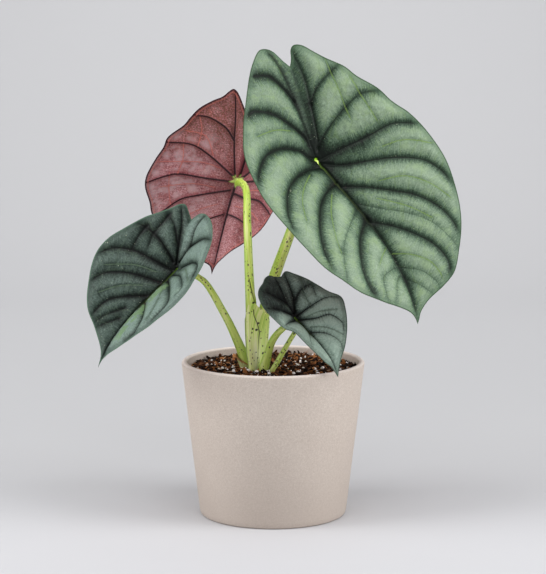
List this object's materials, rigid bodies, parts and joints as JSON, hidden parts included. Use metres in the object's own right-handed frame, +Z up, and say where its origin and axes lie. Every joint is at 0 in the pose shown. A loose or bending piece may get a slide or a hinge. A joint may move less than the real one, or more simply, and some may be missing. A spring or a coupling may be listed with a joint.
{
  "type": "potted alocasia",
  "caption": "Young alocasia with dark-veined silver-green leaves, one seen from its purple underside, on speckled lime stalks in a tapered matt taupe pot.",
  "frame": {"origin": "middle of the pot's flat underside", "axes": "+Z up along the pot's axis and the longest way, -Y the side that the upper faces of the leaves look to, +X to the right seen from there"},
  "size_m": [0.2771, 0.2068, 0.3583],
  "materials": {
    "pot": "matt, fine-grained taupe ceramic",
    "soil": "moist bark and coir potting mix with white perlite",
    "crown": "rough brown rootstock",
    "leaf_green": "satin silver-green leaf with near-black veins",
    "leaf_dark": "satin dark grey-green leaf with near-black veins",
    "leaf_purple": "satin mauve-red leaf underside with maroon veins",
    "stalk": "smooth lime-green stalk with black speckles",
    "dry_sheath": "withered papery sheath, green with a brown edge"
  },
  "bodies": {
    "root": {"pot": "pot", "soil": "soil", "crown": "crown", "big_leaf_blade": "leaf_green", "back_leaf_blade": "leaf_purple", "left_leaf_blade": "leaf_dark", "small_leaf_blade": "leaf_dark", "big_leaf_stalk": "stalk", "back_leaf_stalk": "stalk", "left_leaf_stalk": "stalk", "small_leaf_stalk": "stalk", "young_leaf_stalk": "stalk", "young_leaf_roll": "stalk", "dry_sheath": "dry_sheath"}
  },
  "joints": []
}
